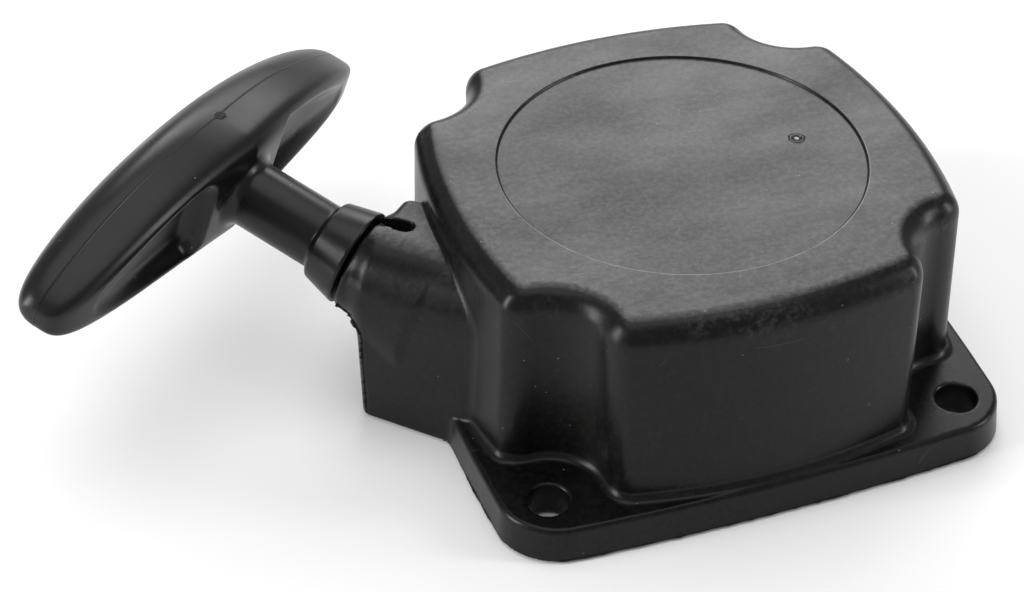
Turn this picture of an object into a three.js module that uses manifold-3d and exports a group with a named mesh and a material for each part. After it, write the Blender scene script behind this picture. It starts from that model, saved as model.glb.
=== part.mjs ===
// Recoil starter for a small two-stroke engine: a lobed moulded housing with a square flange, a
// spring-wound rope reel on the housing's centre post, two ratchet pawls under the reel, and a
// T-handle that is seated on the rope nozzle.
// Millimetres, +Z up. The origin is the centre of the flange's underside. +X and +Y run along the
// flange's sides, and the engine is below the flange.

import * as THREE from 'three';
import { mergeVertices } from 'three/addons/utils/BufferGeometryUtils.js';
import Module from 'manifold-3d';

const wasm = await Module();
wasm.setup();

// ---- driving dimensions --------------------------------------------------------------------

const GAP = 0.3; // clearance between neighbouring pieces

// flange
const FLANGE_HALF = 43; // half of the side at its middle
const FLANGE_SIDE_R = 470; // the sides bulge slightly
const FLANGE_T = 5.9;
const FLANGE_DRAFT = 0.5;
const CORNER_R = 8;
const HOLE_AT = 34.1; // half of the hole pitch
const HOLE_R = 3.2;

// lobed body
const HEIGHT = 37.6;
const LOBE_APEX = 39.6; // from the centre to a lobe, at the top
const LOBE_APEX_BASE = 41; // the same at the flange
const LOBE_R = 98;
const LOBE_R_BASE = 95;
const NOTCH_R = 9; // hollow around each flange hole, at the top
const NOTCH_R_BASE = 9.4;
const EDGE_R = 3.3;
const TOP_FILLET = 3;
const WALL = 2.3;
const ROOF = 2.4;
const LABEL_R = 29; // round recess on the top
const LABEL_DEPTH = 0.4;

// rope nozzle: a block runs out of the housing along yaw 135 degrees, and ends in a short nose
const BLOCK_YAW = 135;
const BLOCK_END = 38.9; // along the block's direction, from the centre
const BLOCK_NEAR = 38.3; // faces of the block, across its direction
const BLOCK_FAR = 20.5;
const BLOCK_TOP = 31.5;
const BLOCK_ROUND = 9;
const BLOCK_WALL = 2.2;
const PULL_YAW = 134.3; // direction that the rope is pulled in
const PULL_PITCH = 18.8;
const NOSE_END = [-50.2, 8.8, 23.7]; // centre of the nose's end face
const NOSE_R = 8.1;
const NOSE_BASE_R = 10.4;
const NOSE_LENGTH = 13;
const NOSE_BORE_R = 4.5;

// centre post, reel and rope
const POST_R = 5;
const POST_END_Z = 12.6;
const REEL_R = 32.5;
const REEL_BORE_R = POST_R + GAP;
const REEL_BOTTOM_Z = 12.9;
const GROOVE_R = 24;
const GROOVE_LOW_Z = 14.6;
const GROOVE_HIGH_Z = 21.0;
const REEL_TOP_Z = 22.8;
const REEL_HUB_R = 8.4; // hub inside the spring
const REEL_HUB_Z = 33.4;
const ROPE_R = 1.5;
const WINDING_R = 30.6;
const ROPE_Z = 17.8;
const ROPE_LINE = 29.1; // distance of the rope's line from the post's axis

// ratchet
const PAWL_AT = 15; // distance of a pawl's pin from the axis
const PAWL_Z = [9.2, 12.5];
const PAWL_LENGTH = 12.5;
const PIN_R = 1.5;

// handle, measured from the nose's end along the pull and across it
const GRIP_ROLL = -5.5; // the grip hangs a little off level
const GRIP_REACH = 38.2; // to the crown of the grip
const GRIP_HALF = 43.4;
const GRIP_ARCH = 0.001; // drop of the crown per square millimetre
const COLLAR_R = 8.0;
const COLLAR_TOP_R = 6.6;
const COLLAR_LENGTH = 5.3;
const SHAFT_R = 5.5;
const SEAT_GAP = 0.5; // between the nose and the collar

// ---- directions ----------------------------------------------------------------------------

const up = new THREE.Vector3(0, 0, 1);
const blockAlong = direction(BLOCK_YAW, 0);
const blockAcross = blockAlong.clone().cross(up).negate(); // away from the post
const pull = direction(PULL_YAW, PULL_PITCH);
const gripAlong = pull.clone().cross(up).normalize() // along the T-handle
  .applyAxisAngle(pull, THREE.MathUtils.degToRad(-GRIP_ROLL));
const gripThick = gripAlong.clone().cross(pull);
const noseEnd = new THREE.Vector3(...NOSE_END);

function direction(yaw, pitch) {
  const a = THREE.MathUtils.degToRad(yaw);
  const b = THREE.MathUtils.degToRad(pitch);
  return new THREE.Vector3(Math.cos(a) * Math.cos(b), Math.sin(a) * Math.cos(b), Math.sin(b));
}

// A frame whose Y axis is the pull, at the nose's end: X runs along the T-handle.
const pullFrame = new THREE.Matrix4().makeBasis(gripAlong, pull, gripThick).setPosition(noseEnd);
// A frame whose X axis runs across the block, Y up and Z along it.
const blockFrame = new THREE.Matrix4().makeBasis(blockAcross, up, blockAlong);

// ---- solids --------------------------------------------------------------------------------

function solid(geometry) {
  const bare = geometry.clone();
  bare.deleteAttribute('normal');
  bare.deleteAttribute('uv');
  const merged = mergeVertices(bare, 1e-4);
  return new wasm.Manifold(new wasm.Mesh({
    numProp: 3,
    vertProperties: Float32Array.from(merged.attributes.position.array),
    triVerts: Uint32Array.from(merged.index.array),
  }));
}

function geometryOf(manifold) {
  const mesh = manifold.getMesh();
  const geometry = new THREE.BufferGeometry();
  geometry.setAttribute('position', new THREE.Float32BufferAttribute(mesh.vertProperties, 3));
  geometry.setIndex(new THREE.BufferAttribute(mesh.triVerts, 1));
  return geometry;
}

const union = (first, ...rest) => rest.reduce((sum, each) => sum.add(each), first);
const cut = (first, ...rest) => rest.reduce((left, each) => left.subtract(each), first);

/** A closed skin over rings of equal count, each anticlockwise seen from the last ring's side. */
function loft(rings) {
  const count = rings[0].length;
  const points = rings.flat();
  const faces = [];
  for (let i = 0; i + 1 < rings.length; i++) {
    for (let j = 0; j < count; j++) {
      const a = i * count + j;
      const b = i * count + ((j + 1) % count);
      faces.push(a, b, b + count, a, b + count, a + count);
    }
  }
  const middle = (ring) => ring.reduce((sum, p) => sum.add(p), new THREE.Vector3())
    .divideScalar(count);
  const last = (rings.length - 1) * count;
  points.push(middle(rings[0]), middle(rings.at(-1)));
  for (let j = 0; j < count; j++) {
    const next = (j + 1) % count;
    faces.push(points.length - 2, next, j);
    faces.push(points.length - 1, last + j, last + next);
  }
  const geometry = new THREE.BufferGeometry().setFromPoints(points);
  geometry.setIndex(faces);
  return geometry;
}

/** A solid of revolution about Z from [radius, z] points; sides is its number of facets. */
function turned(profile, sides = 48) {
  const points = profile.map(([r, z]) => new THREE.Vector2(r, z));
  const geometry = new THREE.LatheGeometry([...points, points[0]], sides);
  geometry.rotateX(Math.PI / 2);
  // the rotation takes the profile's height to +Z, and a clockwise profile is turned inside out
  if (THREE.ShapeUtils.area(points) < 0) flip(geometry);
  return geometry;
}

function flip(geometry) {
  const index = geometry.index.array;
  for (let i = 0; i < index.length; i += 3) {
    [index[i], index[i + 1]] = [index[i + 1], index[i]];
  }
}

function disc(radius, low, high, sides = 32) {
  const geometry = new THREE.CylinderGeometry(radius, radius, high - low, sides);
  geometry.rotateX(Math.PI / 2);
  return geometry.translate(0, 0, (low + high) / 2);
}

function box(size, centre) {
  return new THREE.BoxGeometry(...size).translate(...centre);
}

function extruded(shape, low, high, segments = 6) {
  const geometry = new THREE.ExtrudeGeometry(shape, {
    depth: high - low, bevelEnabled: false, curveSegments: segments,
  });
  return geometry.translate(0, 0, low);
}

/** A round or flat bar swept along a curve. */
function swept(curve, section, steps) {
  return new THREE.ExtrudeGeometry(section, { steps, bevelEnabled: false, extrudePath: curve });
}

function roundSection(radius, sides) {
  const points = [];
  for (let i = 0; i < sides; i++) {
    const a = (2 * Math.PI * i) / sides;
    points.push(new THREE.Vector2(radius * Math.cos(a), radius * Math.sin(a)));
  }
  return new THREE.Shape(points);
}

// ---- outlines ------------------------------------------------------------------------------

function arcPoints(centre, radius, from, to, count, skipLast = true) {
  const points = [];
  for (let i = 0; i < count + (skipLast ? 0 : 1); i++) {
    const a = from + ((to - from) * i) / count;
    points.push(new THREE.Vector2(
      centre.x + radius * Math.cos(a),
      centre.y + radius * Math.sin(a),
    ));
  }
  return points;
}

/** The four-lobed outline: flat lobes, a round hollow at each flange hole, rounded edges. */
function lobedRing(apex, lobeR, notchR, edgeR, z) {
  const lobe = new THREE.Vector2(apex - lobeR, 0);
  const notch = new THREE.Vector2(HOLE_AT, HOLE_AT);
  const toNotch = notch.clone().sub(lobe);
  const span = toNotch.length();
  const near = lobeR - edgeR;
  const far = notchR + edgeR;
  const along = (near * near - far * far + span * span) / (2 * span);
  const aside = Math.sqrt(near * near - along * along);
  toNotch.divideScalar(span);
  const edge = lobe.clone().addScaledVector(toNotch, along)
    .add(new THREE.Vector2(toNotch.y, -toNotch.x).multiplyScalar(aside));
  const a = edge.clone().sub(lobe).angle();
  const b = notch.clone().sub(edge).angle();
  const mirrored = new THREE.Vector2(edge.y, edge.x);
  const quarter = [
    ...arcPoints(lobe, lobeR, -a, a, 6),
    ...arcPoints(edge, edgeR, a, b, 4),
    ...arcPoints(notch, notchR, b + Math.PI, 1.5 * Math.PI - b, 7),
    ...arcPoints(mirrored, edgeR, Math.PI / 2 - b, Math.PI / 2 - a, 4),
  ];
  return fourTimes(quarter, z);
}

/** The flange's outline: four slightly bulged sides and round corners. */
function flangeRing(half, cornerR, z) {
  const side = new THREE.Vector2(half - FLANGE_SIDE_R, 0);
  const reach = FLANGE_SIDE_R - cornerR;
  const c = (side.x + Math.sqrt(2 * reach * reach - side.x * side.x)) / 2;
  const corner = new THREE.Vector2(c, c);
  const a = corner.clone().sub(side).angle();
  const quarter = [
    ...arcPoints(side, FLANGE_SIDE_R, -a, a, 4),
    ...arcPoints(corner, cornerR, a, Math.PI / 2 - a, 6),
  ];
  return fourTimes(quarter, z);
}

function fourTimes(quarter, z) {
  const centre = new THREE.Vector2();
  return [0, 1, 2, 3].flatMap((turn) => quarter.map((p) => {
    const q = p.clone().rotateAround(centre, (turn * Math.PI) / 2);
    return new THREE.Vector3(q.x, q.y, z);
  }));
}

/** The body's outline at a height, set in from the moulded surface. */
function bodyRing(z, inset = 0) {
  const t = THREE.MathUtils.clamp((z - FLANGE_T) / (HEIGHT - FLANGE_T), 0, 1);
  const mix = THREE.MathUtils.lerp;
  return lobedRing(
    mix(LOBE_APEX_BASE, LOBE_APEX, t) - inset,
    mix(LOBE_R_BASE, LOBE_R, t) - inset,
    mix(NOTCH_R_BASE, NOTCH_R, t) + inset,
    Math.max(EDGE_R - inset, 0.6),
    z,
  );
}

// ---- housing -------------------------------------------------------------------------------

function blockSection(inset, bottom) {
  const near = BLOCK_NEAR - inset;
  const far = BLOCK_FAR + inset;
  const top = BLOCK_TOP - inset;
  const round = BLOCK_ROUND - inset;
  const shape = new THREE.Shape();
  shape.moveTo(far, bottom);
  shape.lineTo(near, bottom);
  shape.lineTo(near, top - round);
  shape.absarc(near - round, top - round, round, 0, Math.PI / 2);
  shape.lineTo(far, top);
  shape.closePath();
  return shape;
}

/** The outline of the rope nozzle's nose: a short cone trimmed to the block's section. */
function nose() {
  const cone = turned([[0, -NOSE_LENGTH], [NOSE_BASE_R, -NOSE_LENGTH], [NOSE_R + 0.3, -3.5],
    [NOSE_R, -0.6], [NOSE_R - 0.6, 0], [0, 0]]);
  cone.rotateX(-Math.PI / 2).applyMatrix4(pullFrame);
  const limit = extruded(blockSection(0, 4), BLOCK_END - 12, BLOCK_END + 16);
  return solid(cone).intersect(solid(limit.applyMatrix4(blockFrame)));
}

function starterHousing() {
  const rings = [bodyRing(FLANGE_T - 2), bodyRing(FLANGE_T), bodyRing(HEIGHT - TOP_FILLET)];
  for (const angle of [30, 60, 90]) {
    const a = THREE.MathUtils.degToRad(angle);
    const ring = bodyRing(HEIGHT - TOP_FILLET, TOP_FILLET * (1 - Math.cos(a)));
    rings.push(ring.map((p) => p.setZ(HEIGHT - TOP_FILLET * (1 - Math.sin(a)))));
  }
  const body = solid(loft(rings));
  const flange = solid(loft([
    flangeRing(FLANGE_HALF, CORNER_R, 0),
    flangeRing(FLANGE_HALF - FLANGE_DRAFT, CORNER_R - FLANGE_DRAFT, FLANGE_T),
  ]));
  const block = solid(extruded(blockSection(0, 0), 8, BLOCK_END).applyMatrix4(blockFrame));
  const outside = union(body, flange, block, nose());

  const cavity = solid(loft([
    bodyRing(FLANGE_T, WALL).map((p) => p.setZ(-1)),
    bodyRing(FLANGE_T, WALL),
    bodyRing(HEIGHT - ROOF, WALL),
  ]));
  const blockCavity = solid(extruded(blockSection(BLOCK_WALL, -1), 12, BLOCK_END - BLOCK_WALL)
    .applyMatrix4(blockFrame));
  const noseBore = solid(disc(NOSE_BORE_R, -NOSE_LENGTH - 1, 1).rotateX(-Math.PI / 2)
    .applyMatrix4(pullFrame));
  const label = solid(disc(LABEL_R, HEIGHT - LABEL_DEPTH, HEIGHT + 1, 56));
  const holes = [];
  for (const x of [-1, 1]) {
    for (const y of [-1, 1]) {
      holes.push(solid(disc(HOLE_R, -1, FLANGE_T + 1, 20)
        .translate(x * HOLE_AT, y * HOLE_AT, 0)));
    }
  }
  const shell = cut(outside, cavity, blockCavity, noseBore, label, ...holes);

  const roofZ = HEIGHT - ROOF;
  const post = solid(disc(POST_R, POST_END_Z, roofZ + 1));
  const insertHole = solid(disc(INSERT_R + GAP, POST_END_Z - 1, INSERT_TOP_Z + GAP));
  const anchor = solid(disc(ANCHOR_R, CASE_LOW_Z, roofZ + 1, 16)
    .translate(...anchorAt.toArray()));
  return cut(union(shell, post, anchor), insertHole);
}

// ---- spring and its case -------------------------------------------------------------------

const INSERT_R = 3.6;
const INSERT_TOP_Z = 23;
const CASE_R = 27.6;
const CASE_WALL = 0.8;
const CASE_LOW_Z = 24.6;
const CASE_TOP_Z = HEIGHT - ROOF - GAP;
const SPRING_Z = [26, 33.2];
const STRIP = 0.55; // thickness of the spring strip
const SPRING_OUT_R = 26.2;
const SPRING_IN_R = 9.6;
const OUTER_TURNS = 6;
const INNER_TURNS = 2;
const OUTER_PITCH = 1.15;
const ANCHOR_R = 1.6;
const ANCHOR_ANGLE = -50; // degrees
const anchorAt = direction(ANCHOR_ANGLE, 0).multiplyScalar(CASE_R + 2.6);

/** A thin cup under the roof that the spring lies in, with a slot for the spring's outer hook. */
function springCase() {
  const cup = solid(turned([
    [REEL_HUB_R + 1, CASE_TOP_Z], [REEL_HUB_R + 1, CASE_TOP_Z - CASE_WALL],
    [CASE_R - CASE_WALL, CASE_TOP_Z - CASE_WALL], [CASE_R - CASE_WALL, CASE_LOW_Z],
    [CASE_R, CASE_LOW_Z], [CASE_R, CASE_TOP_Z],
  ], 40));
  const slot = box([6, 4, SPRING_Z[1] - CASE_LOW_Z + 2.5],
    [CASE_R, 0, (SPRING_Z[1] + CASE_LOW_Z - 1.5) / 2]);
  slot.rotateZ(THREE.MathUtils.degToRad(ANCHOR_ANGLE));
  return cut(cup, solid(slot));
}

function springCover() {
  return solid(turned([
    [REEL_HUB_R + 0.6, CASE_LOW_Z - 1.1], [CASE_R + 0.6, CASE_LOW_Z - 1.1],
    [CASE_R + 0.6, CASE_LOW_Z - GAP], [REEL_HUB_R + 0.6, CASE_LOW_Z - GAP],
  ], 40));
}

/** The clock spring: close turns against the case, then open turns in to the reel's hub. */
function recoilSpring() {
  const start = THREE.MathUtils.degToRad(ANCHOR_ANGLE);
  const perTurn = 20;
  const total = OUTER_TURNS + INNER_TURNS;
  const knee = SPRING_OUT_R - OUTER_TURNS * OUTER_PITCH;
  const line = [];
  // the outer end is bent out through the case's slot, towards the anchor post
  line.push({ r: CASE_R + 0.5, a: start - 0.02 }, { r: SPRING_OUT_R + 0.2, a: start });
  for (let i = 1; i <= total * perTurn; i++) {
    const turn = i / perTurn;
    const r = turn < OUTER_TURNS
      ? SPRING_OUT_R - turn * OUTER_PITCH
      : THREE.MathUtils.lerp(knee, SPRING_IN_R, (turn - OUTER_TURNS) / INNER_TURNS);
    line.push({ r, a: start + turn * 2 * Math.PI });
  }
  const end = line.at(-1);
  // the inner end is bent into the hub's notch
  line.push({ r: REEL_HUB_R - 1, a: end.a + 0.1 });
  const at = ({ r, a }) => new THREE.Vector2(r * Math.cos(a), r * Math.sin(a));
  const left = [];
  const right = [];
  line.forEach((point, i) => {
    const here = at(point);
    const before = at(line[Math.max(i - 1, 0)]);
    const after = at(line[Math.min(i + 1, line.length - 1)]);
    const side = after.sub(before).normalize();
    side.set(-side.y, side.x).multiplyScalar(STRIP / 2);
    left.push(here.clone().add(side));
    right.push(here.clone().sub(side));
  });
  return solid(extruded(new THREE.Shape([...left, ...right.reverse()]), ...SPRING_Z));
}

// ---- reel and rope -------------------------------------------------------------------------

const ROPE_HOLE_ANGLE = 200; // degrees, where the rope enters the reel
const RIBS = 6;
const POCKET_R = [11, 21.8];
const POCKET_Z = 15.4;

function ropePulley() {
  const body = solid(turned([
    [REEL_BORE_R, REEL_BOTTOM_Z], [REEL_R, REEL_BOTTOM_Z], [REEL_R, GROOVE_LOW_Z - 0.4],
    [GROOVE_R, GROOVE_LOW_Z], [GROOVE_R, GROOVE_HIGH_Z], [REEL_R, GROOVE_HIGH_Z + 0.4],
    [REEL_R, REEL_TOP_Z], [POCKET_R[1], REEL_TOP_Z], [POCKET_R[1], POCKET_Z],
    [POCKET_R[0], POCKET_Z], [POCKET_R[0], REEL_TOP_Z], [REEL_HUB_R, REEL_TOP_Z],
    [REEL_HUB_R, REEL_HUB_Z], [REEL_BORE_R, REEL_HUB_Z],
  ], 40));
  const ribs = [];
  for (let i = 0; i < RIBS; i++) {
    const length = POCKET_R[1] - POCKET_R[0] + 2;
    const height = REEL_TOP_Z - 1 - POCKET_Z;
    ribs.push(solid(box([length, 1.4, height + 1],
      [(POCKET_R[0] + POCKET_R[1]) / 2, 0, POCKET_Z + height / 2 - 0.5])
      .rotateZ((2 * Math.PI * i) / RIBS)));
  }
  const ropeHole = solid(ropeStub(ROPE_R + GAP, POCKET_R[1] - 1, GROOVE_R + 2));
  // the spring's inner hook drops into this notch
  const turns = 2 * Math.PI * (OUTER_TURNS + INNER_TURNS);
  const hookAngle = THREE.MathUtils.degToRad(ANCHOR_ANGLE) + turns + 0.1;
  const notch = solid(box([3, 2.6, REEL_HUB_Z], [REEL_HUB_R, 0, REEL_HUB_Z / 2 + REEL_TOP_Z + 1])
    .rotateZ(hookAngle));
  const pinHoles = PAWL_TURNS.map((turn) => solid(
    disc(PIN_R + GAP, REEL_BOTTOM_Z - 1, PIN_TOP_Z + GAP, 16).translate(PAWL_AT, 0, 0)
      .rotateZ(turn)));
  const coneSeat = solid(disc(BRAKE_R + 1, REEL_BOTTOM_Z - 1, REEL_BOTTOM_Z + 1));
  return cut(union(body, ...ribs), ropeHole, notch, coneSeat, ...pinHoles);
}

function ropeStub(radius, from, to) {
  const a = THREE.MathUtils.degToRad(ROPE_HOLE_ANGLE);
  return disc(radius, from, to, 12).rotateY(Math.PI / 2).rotateZ(a)
    .translate(0, 0, ROPE_Z);
}

/** The rope's turns in the reel's groove, as the ring that they fill, with the end to its knot. */
function ropeWinding() {
  const middle = (GROOVE_LOW_Z + GROOVE_HIGH_Z) / 2;
  const half = (GROOVE_HIGH_Z - GROOVE_LOW_Z) / 2 - GAP;
  const bumps = [];
  for (let i = 0; i <= 4; i++) {
    bumps.push([WINDING_R - (i % 2 ? 0 : 0.8), middle - half + (half * i) / 2]);
  }
  const ring = solid(turned([[GROOVE_R + GAP, middle + half], [GROOVE_R + GAP, middle - half],
    ...bumps], 44));
  return union(ring, solid(ropeStub(ROPE_R, POCKET_R[1] - 0.8, GROOVE_R + 1.5)));
}

function knot(radius) {
  const points = [[0, -radius], [radius * 0.7, -radius * 0.8], [radius, -radius * 0.25],
    [radius * 0.8, 0], [radius, radius * 0.3], [radius * 0.65, radius * 0.85], [0, radius]];
  return turned(points, 14);
}

function reelKnot() {
  const a = THREE.MathUtils.degToRad(ROPE_HOLE_ANGLE);
  return solid(knot(2.3).rotateY(Math.PI / 2).translate(POCKET_R[1] - 0.8 - 2.3 - GAP, 0, 0)
    .rotateZ(a).translate(0, 0, ROPE_Z));
}

/** The rope from the reel to the handle's knot: level to the nozzle, then along the pull. */
function ropeRun() {
  const from = Math.sqrt((WINDING_R + ROPE_R + GAP) ** 2 - ROPE_LINE ** 2);
  const start = blockAlong.clone().multiplyScalar(from)
    .addScaledVector(blockAcross, ROPE_LINE).setZ(ROPE_Z);
  const route = [
    start,
    start.clone().lerp(alongPull(GUIDE[0] - 2), 0.5),
    alongPull(GUIDE[0] - 2),
    alongPull(GUIDE[0] + 2),
    alongPull(-2),
    alongPull(8),
    alongPull(KNOT_Y - KNOT_R - GAP),
  ];
  const curve = new THREE.CatmullRomCurve3(route, false, 'centripetal');
  return solid(swept(curve, roundSection(ROPE_R, 8), 24));
}

function alongPull(distance) {
  return noseEnd.clone().addScaledVector(pull, distance);
}

const GUIDE = [-9.6, -0.4]; // rope guide's ends along the pull

/** The bush in the nose that the rope slides over, flared at its inner end. */
function ropeGuide() {
  const outer = NOSE_BORE_R - GAP;
  const bore = ROPE_R + 0.5;
  return solid(turned([
    [bore + 0.9, GUIDE[0]], [outer + 0.9, GUIDE[0]], [outer + 0.9, GUIDE[0] + 1],
    [outer, GUIDE[0] + 1.4], [outer, GUIDE[1]], [bore + 0.7, GUIDE[1]],
    [bore, GUIDE[1] - 1], [bore, GUIDE[0] + 1.4],
  ], 24).rotateX(-Math.PI / 2).applyMatrix4(pullFrame));
}

// ---- ratchet -------------------------------------------------------------------------------

const PAWL_TURNS = [0, Math.PI];
const PIN_TOP_Z = 16;
const PIN_HEAD_Z = [5.4, 6.2];
const SPRING_WIRE = 0.3;
const BRAKE_R = 4.6;

/** One pawl, on the pin at [PAWL_AT, 0]: it trails from the pin towards -Y. */
function pawl() {
  const shape = new THREE.Shape();
  const eye = 3.4;
  shape.absarc(0, 0, eye, 0, Math.PI);
  shape.quadraticCurveTo(-eye, -6, -1.8, -PAWL_LENGTH + 0.8);
  shape.lineTo(2.4, -PAWL_LENGTH);
  shape.lineTo(2.8, -PAWL_LENGTH + 3);
  shape.quadraticCurveTo(2.9, -5, eye, 0);
  const body = solid(extruded(shape, ...PAWL_Z).translate(PAWL_AT, 0, 0));
  return cut(body, solid(disc(PIN_R + GAP, 0, 20, 20).translate(PAWL_AT, 0, 0)));
}

function pawlPin() {
  return solid(turned([
    [0, PIN_HEAD_Z[0]], [2, PIN_HEAD_Z[0]], [2.4, PIN_HEAD_Z[0] + 0.4], [2.4, PIN_HEAD_Z[1]],
    [PIN_R, PIN_HEAD_Z[1]], [PIN_R, PIN_TOP_Z], [0, PIN_TOP_Z],
  ], 20).translate(PAWL_AT, 0, 0));
}

/** A torsion spring on the pin, below the pawl, with one leg out along the pawl. */
function pawlSpring() {
  const radius = PIN_R + GAP + SPRING_WIRE;
  const points = [new THREE.Vector3(radius + 2.6, -5.5, PAWL_Z[0] - 0.7)];
  const turns = 3;
  for (let i = 0; i <= turns * 9; i++) {
    const a = (2 * Math.PI * i) / 9;
    const z = PAWL_Z[0] - 0.7 - (1.7 * i) / (turns * 9);
    points.push(new THREE.Vector3(radius * Math.cos(a), radius * Math.sin(a), z));
  }
  points.push(new THREE.Vector3(radius + 0.3, 5, PAWL_Z[0] - 2.5));
  const curve = new THREE.CatmullRomCurve3(points, false, 'centripetal');
  return solid(swept(curve, roundSection(SPRING_WIRE, 5), 44).translate(PAWL_AT, 0, 0));
}

/** The plate that the pawls' friction ring turns against, held by the centre screw. */
function guidePlate() {
  const plate = solid(disc(10, PLATE_Z[0], PLATE_Z[1], 36));
  const cams = [0, Math.PI].map((turn) => solid(disc(3, PLATE_Z[0] - 1, PLATE_Z[1] + 1, 20)
    .translate(0, 11.2, 0).rotateZ(turn)));
  return cut(plate, ...cams, solid(disc(SCREW_R + GAP, 0, 20)));
}

const SCREW_R = 2;
const PLATE_Z = [7.4, 8.6];
const WASHER_Z = [6.1, 7.1];
const HEAD_Z = [2.6, 5.8];

function brakeSpring() {
  const turns = 2.5;
  const points = [];
  for (let i = 0; i <= turns * 12; i++) {
    const a = (2 * Math.PI * i) / 12;
    const z = THREE.MathUtils.lerp(PLATE_Z[1] + 0.7, POST_END_Z - 0.7, i / (turns * 12));
    points.push(new THREE.Vector3(3.6 * Math.cos(a), 3.6 * Math.sin(a), z));
  }
  const curve = new THREE.CatmullRomCurve3(points, false, 'centripetal');
  return solid(swept(curve, roundSection(0.4, 5), 40));
}

function centreWasher() {
  return solid(turned([[SCREW_R + GAP, WASHER_Z[0]], [6.5, WASHER_Z[0]],
    [6.5, WASHER_Z[1]], [SCREW_R + GAP, WASHER_Z[1]]], 32));
}

function centreScrew() {
  const screw = solid(turned([
    [0, HEAD_Z[0]], [3.4, HEAD_Z[0]], [4.4, HEAD_Z[0] + 0.8], [4.6, HEAD_Z[1]],
    [SCREW_R, HEAD_Z[1]], [SCREW_R, INSERT_TOP_Z - 2], [0, INSERT_TOP_Z - 1],
  ], 24));
  const arms = [[4.4, 1], [1, 4.4]].map(([x, y]) => solid(box([x, y, 3.2], [0, 0, HEAD_Z[0]])));
  return cut(screw, ...arms);
}

function threadInsert() {
  return solid(turned([[SCREW_R + GAP, POST_END_Z + 0.4], [INSERT_R, POST_END_Z + 0.4],
    [INSERT_R, INSERT_TOP_Z], [SCREW_R + GAP, INSERT_TOP_Z]], 28));
}

// ---- handle --------------------------------------------------------------------------------

const KNOT_R = 2.7;
const KNOT_Y = 29; // along the pull
const HANDLE_BORE_R = ROPE_R + 0.4;
const POCKET = [20, 6.4, 6.6]; // cross hole between the hollows, that the knot is pushed into
const GRIP_THICK = 10.2; // half thickness at the middle
const GRIP_THICK_END = 3.9;
const GRIP_DEPTH = 16.6; // along the pull
const GRIP_DEPTH_END = 12.6;
const GRIP_PARTING = 0.49; // the widest line of the section, as a part of its depth
const GRIP_SAG = 0.0018; // the arms bend down a little, per square millimetre
const GRIP_BLUNT = 4; // power of the rounding of the arms' ends

const HOLLOW = [8.6, 38.4]; // the hollow in each arm, from the shaft's axis
const HOLLOW_FLOOR = 0.46; // as a part of the grip's depth
const GRIP_WALL = 2.2;

/** The grip's section at a distance from the shaft's axis. */
function gripAt(x) {
  const mix = THREE.MathUtils.lerp;
  const t = Math.abs(x) / GRIP_HALF;
  return {
    end: Math.max((1 - t ** GRIP_BLUNT) ** (1 / GRIP_BLUNT), 0.05),
    half: mix(GRIP_THICK, GRIP_THICK_END, t ** 1.6),
    depth: mix(GRIP_DEPTH, GRIP_DEPTH_END, t),
    crown: GRIP_REACH - GRIP_ARCH * x * x,
    sag: -GRIP_SAG * x * x,
  };
}

/** A cross-section of the grip in the plane of the pull and the thickness. */
function gripRing(x) {
  const { end, half, depth, crown, sag } = gripAt(x);
  const p = GRIP_PARTING;
  const outline = [[0, 0], [0.06 * p, 0.4], [0.24 * p, 0.75], [0.56 * p, 0.95], [p, 1],
    [(1 + p) / 2, 0.97], [0.95, 0.9], [1, 0.78], [1, 0.3]];
  const point = ([d, v], side) => new THREE.Vector3(
    x,
    crown - depth * (p + (d - p) * end),
    side * v * half * end + sag,
  );
  return [...outline.map((each) => point(each, 1)),
    ...outline.slice(1).reverse().map((each) => point(each, -1))];
}

/** The hollow in an arm, open towards the fingers. */
function gripHollow(side) {
  const rings = [];
  for (let i = 0; i <= 5; i++) {
    const x = THREE.MathUtils.lerp(HOLLOW[0], HOLLOW[1], side > 0 ? i / 5 : 1 - i / 5) * side;
    const { end, half, depth, crown, sag } = gripAt(x);
    const low = crown - depth - 3;
    const high = crown - depth * HOLLOW_FLOOR;
    const wide = 0.94 * half * end - GRIP_WALL;
    rings.push([[low, -wide], [high, 0.8 - wide], [high, wide - 0.8], [low, wide]]
      .map(([y, z]) => new THREE.Vector3(x, y, z + sag)));
  }
  return loft(rings);
}

function handleGrip() {
  const stations = [];
  for (let i = -10; i <= 10; i++) {
    stations.push(GRIP_HALF * Math.sin((i / 10) * (Math.PI / 2)));
  }
  const bar = solid(loft(stations.map(gripRing)));
  const shaft = solid(turned([
    [0, SEAT_GAP], [COLLAR_R - 0.5, SEAT_GAP], [COLLAR_R, SEAT_GAP + 0.5],
    [COLLAR_TOP_R + 0.6, COLLAR_LENGTH - 0.6], [COLLAR_TOP_R - 0.2, COLLAR_LENGTH],
    [SHAFT_R, COLLAR_LENGTH + 0.2], [SHAFT_R, 20], [SHAFT_R + 1.2, 23.5], [SHAFT_R + 1.6, 27],
    [0, 30],
  ], 28).rotateX(-Math.PI / 2));
  const bore = solid(disc(HANDLE_BORE_R, 0, KNOT_Y, 16).rotateX(-Math.PI / 2));
  const pocket = solid(box(POCKET, [0, KNOT_Y, 0]));
  const hollows = [-1, 1].map((side) => solid(gripHollow(side)));
  return cut(union(cut(bar, ...hollows), shaft), bore, pocket).transform(pullFrame.toArray());
}

function handleKnot() {
  return solid(knot(KNOT_R).rotateX(-Math.PI / 2).translate(0, KNOT_Y + 0.2, 0)
    .applyMatrix4(pullFrame));
}

// ---- assembly ------------------------------------------------------------------------------

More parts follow.
